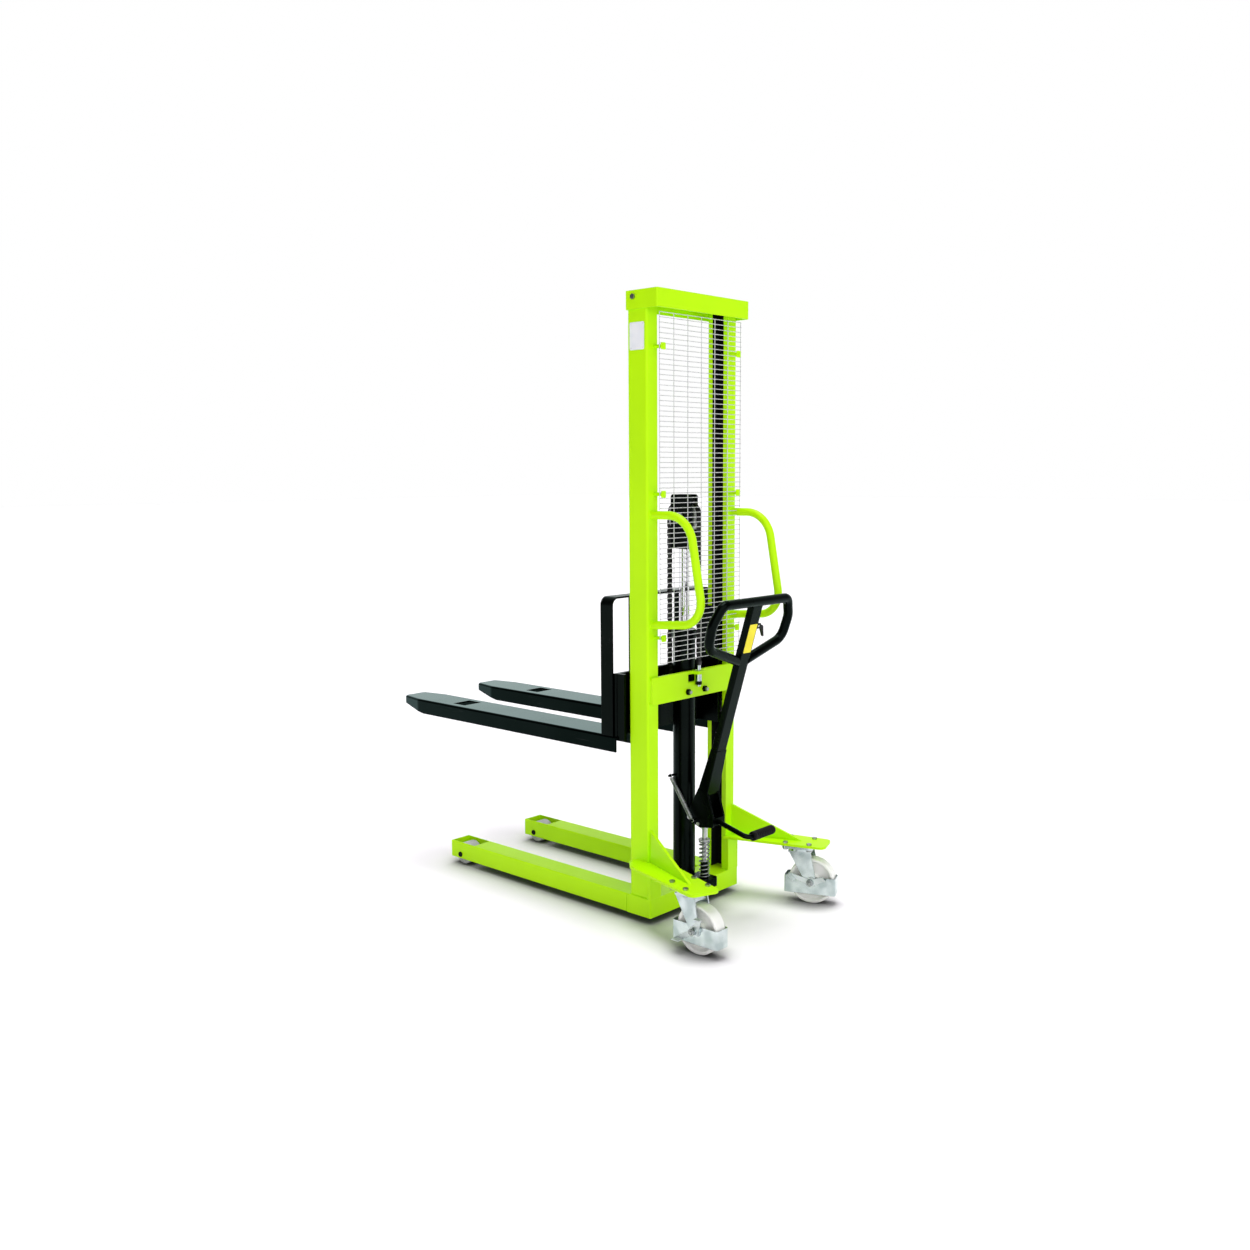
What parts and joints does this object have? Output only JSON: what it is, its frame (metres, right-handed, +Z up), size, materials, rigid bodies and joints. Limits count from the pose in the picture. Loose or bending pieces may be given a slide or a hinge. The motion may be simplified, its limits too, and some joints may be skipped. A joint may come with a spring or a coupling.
{
  "type": "hand pallet stacker",
  "caption": "Manual hydraulic pallet stacker with straddle legs, a fixed channel mast, chain-lifted fork carriage, pump tiller with pedal, mesh guard and swivel castors.",
  "frame": {"origin": "on the floor, midway between the columns, below their rear faces", "axes": "+Z up, +Y towards the fork tips, +X to the right of an operator who stands behind the mast"},
  "size_m": [0.7664, 1.654, 2.07],
  "materials": {
    "lime_paint": "gloss",
    "black_paint": "satin",
    "zinc_steel": "satin",
    "bare_steel": "satin",
    "oiled_chain": "satin",
    "chromed_ram": "polished",
    "nylon": "satin",
    "black_rubber": "matte",
    "lever_plastic": "satin"
  },
  "bodies": {
    "mast": {"base_frame": "lime_paint", "left_leg": "lime_paint", "right_leg": "lime_paint", "left_mast_channel": "lime_paint", "right_mast_channel": "lime_paint", "mast_top_cap": "lime_paint", "frame_bolts": "zinc_steel", "mast_cross_beam": "lime_paint", "left_castor_bracket": "lime_paint", "right_castor_bracket": "lime_paint", "left_grab_handle": "lime_paint", "right_grab_handle": "lime_paint", "mesh_guard": "zinc_steel", "mesh_clips": "zinc_steel", "cylinder_barrel": "black_paint", "cylinder_gland": "black_paint", "cylinder_u_bolt": "zinc_steel", "clamp_nuts": "oiled_chain", "pump_body": "black_paint", "tiller_pivot_bracket": "black_paint", "chain_anchor_stud": "zinc_steel", "load_roller_axles": "zinc_steel", "castor_top_plates": "zinc_steel", "chain_rear_run": "oiled_chain", "return_spring": "bare_steel", "piston_spring": "bare_steel"},
    "left_load_roller": {"left_load_roller": "nylon"},
    "right_load_roller": {"right_load_roller": "nylon"},
    "ram": {"ram_rod": "chromed_ram", "chain_wheel_yoke": "black_paint", "chain_wheel_pin": "bare_steel", "chain_wrap": "oiled_chain"},
    "chain_wheel": {"chain_wheel": "bare_steel"},
    "carriage": {"carriage_frame": "black_paint", "left_fork": "black_paint", "right_fork": "black_paint", "backrest_frame": "black_paint", "carriage_roller_pins": "bare_steel", "chain_front_run": "oiled_chain"},
    "left_lower_roller": {"left_lower_carriage_roller": "bare_steel"},
    "right_lower_roller": {"right_lower_carriage_roller": "bare_steel"},
    "left_upper_roller": {"left_upper_carriage_roller": "bare_steel"},
    "right_upper_roller": {"right_upper_carriage_roller": "bare_steel"},
    "tiller": {"tiller_base": "black_paint", "tiller_tube": "black_paint", "tiller_handle_loop": "black_paint", "pedal_arm": "black_paint", "pedal_pad": "black_rubber", "tiller_pins": "bare_steel"},
    "press_roller": {"press_roller": "bare_steel"},
    "release_lever": {"release_lever": "lever_plastic"},
    "plunger": {"pump_piston": "bare_steel"},
    "left_castor": {"left_castor_fork": "zinc_steel", "left_castor_guard": "zinc_steel"},
    "left_castor_wheel": {"left_castor_wheel": "nylon"},
    "left_castor_brake": {"left_castor_brake": "zinc_steel"},
    "right_castor": {"right_castor_fork": "zinc_steel", "right_castor_guard": "zinc_steel"},
    "right_castor_wheel": {"right_castor_wheel": "nylon"},
    "right_castor_brake": {"right_castor_brake": "zinc_steel"}
  },
  "joints": [
    {"name": "ram_slide", "type": "slide", "parent": "mast", "child": "ram", "axis": [0, 0, 1], "range_m": [-0.266, 0.483], "deforming": ["chain_rear_run"]},
    {"name": "carriage_slide", "type": "slide", "parent": "ram", "child": "carriage", "axis": [0, 0, 1], "range_m": [-0.266, 0.483], "deforming": ["chain_front_run"]},
    {"name": "chain_wheel_spin", "type": "hinge", "parent": "ram", "child": "chain_wheel", "pos_m": [0, 0.04, 1.35], "axis": [1, 0, 0], "range_deg": [-240, 434]},
    {"name": "left_lower_roller_spin", "type": "hinge", "parent": "carriage", "child": "left_lower_roller", "pos_m": [-0.203, 0.0415, 0.68], "axis": [1, 0, 0], "range_deg": [-1330, 2410]},
    {"name": "left_upper_roller_spin", "type": "hinge", "parent": "carriage", "child": "left_upper_roller", "pos_m": [-0.203, 0.0415, 1], "axis": [1, 0, 0], "range_deg": [-2410, 1330]},
    {"name": "right_lower_roller_spin", "type": "hinge", "parent": "carriage", "child": "right_lower_roller", "pos_m": [0.203, 0.0415, 0.68], "axis": [1, 0, 0], "range_deg": [-1330, 2410]},
    {"name": "right_upper_roller_spin", "type": "hinge", "parent": "carriage", "child": "right_upper_roller", "pos_m": [0.203, 0.0415, 1], "axis": [1, 0, 0], "range_deg": [-2410, 1330]},
    {"name": "tiller_hinge", "type": "hinge", "parent": "mast", "child": "tiller", "pos_m": [0, -0.012, 0.33], "axis": [1, 0, 0], "range_deg": [0, 25], "stiffness_Nm_per_rad": 30, "springref_deg": -45.84, "deforming": ["return_spring"]},
    {"name": "press_roller_spin", "type": "hinge", "parent": "tiller", "child": "press_roller", "pos_m": [0, -0.05, 0.312], "axis": [1, 0, 0], "continuous": true},
    {"name": "release_lever_hinge", "type": "hinge", "parent": "tiller", "child": "release_lever", "pos_m": [0.036, -0.23853, 1.00093], "axis": [0, -0.9585, -0.2852], "range_deg": [0, 18], "stiffness_Nm_per_rad": 0.5, "springref_deg": -17.19},
    {"name": "plunger_slide", "type": "slide", "parent": "mast", "child": "plunger", "axis": [0, 0, 1], "range_m": [-0.0172, 0], "deforming": ["piston_spring"]},
    {"name": "left_castor_swivel", "type": "hinge", "parent": "mast", "child": "left_castor", "pos_m": [-0.303, -0.236, 0.197], "axis": [0, 0, 1], "continuous": true},
    {"name": "left_castor_spin", "type": "hinge", "parent": "left_castor", "child": "left_castor_wheel", "pos_m": [-0.303, -0.282, 0.08], "axis": [1, 0, 0], "continuous": true},
    {"name": "left_castor_brake_hinge", "type": "hinge", "parent": "left_castor", "child": "left_castor_brake", "pos_m": [-0.303, -0.282, 0.08], "axis": [1, 0, 0], "range_deg": [-12, 46]},
    {"name": "left_load_roller_spin", "type": "hinge", "parent": "mast", "child": "left_load_roller", "pos_m": [-0.193, 0.963, 0.041], "axis": [1, 0, 0], "continuous": true},
    {"name": "right_castor_swivel", "type": "hinge", "parent": "mast", "child": "right_castor", "pos_m": [0.303, -0.236, 0.197], "axis": [0, 0, 1], "continuous": true},
    {"name": "right_castor_spin", "type": "hinge", "parent": "right_castor", "child": "right_castor_wheel", "pos_m": [0.32023, -0.27865, 0.08], "axis": [0.9272, 0.3746, 0], "continuous": true},
    {"name": "right_castor_brake_hinge", "type": "hinge", "parent": "right_castor", "child": "right_castor_brake", "pos_m": [0.32023, -0.27865, 0.08], "axis": [0.9272, 0.3746, 0], "range_deg": [-58, 0]},
    {"name": "right_load_roller_spin", "type": "hinge", "parent": "mast", "child": "right_load_roller", "pos_m": [0.193, 0.963, 0.041], "axis": [1, 0, 0], "continuous": true}
  ],
  "couplings": [
    {"joint": "carriage_slide", "follows": "ram_slide", "ratio": 1},
    {"joint": "chain_wheel_spin", "follows": "ram_slide", "rad_per_m": 15.625},
    {"joint": "plunger_slide", "follows": "tiller_hinge", "m_per_rad": -0.0385},
    {"joint": "left_lower_roller_spin", "follows": "ram_slide", "rad_per_m": 86.957},
    {"joint": "left_upper_roller_spin", "follows": "ram_slide", "rad_per_m": -86.957},
    {"joint": "right_lower_roller_spin", "follows": "ram_slide", "rad_per_m": 86.957},
    {"joint": "right_upper_roller_spin", "follows": "ram_slide", "rad_per_m": -86.957}
  ]
}
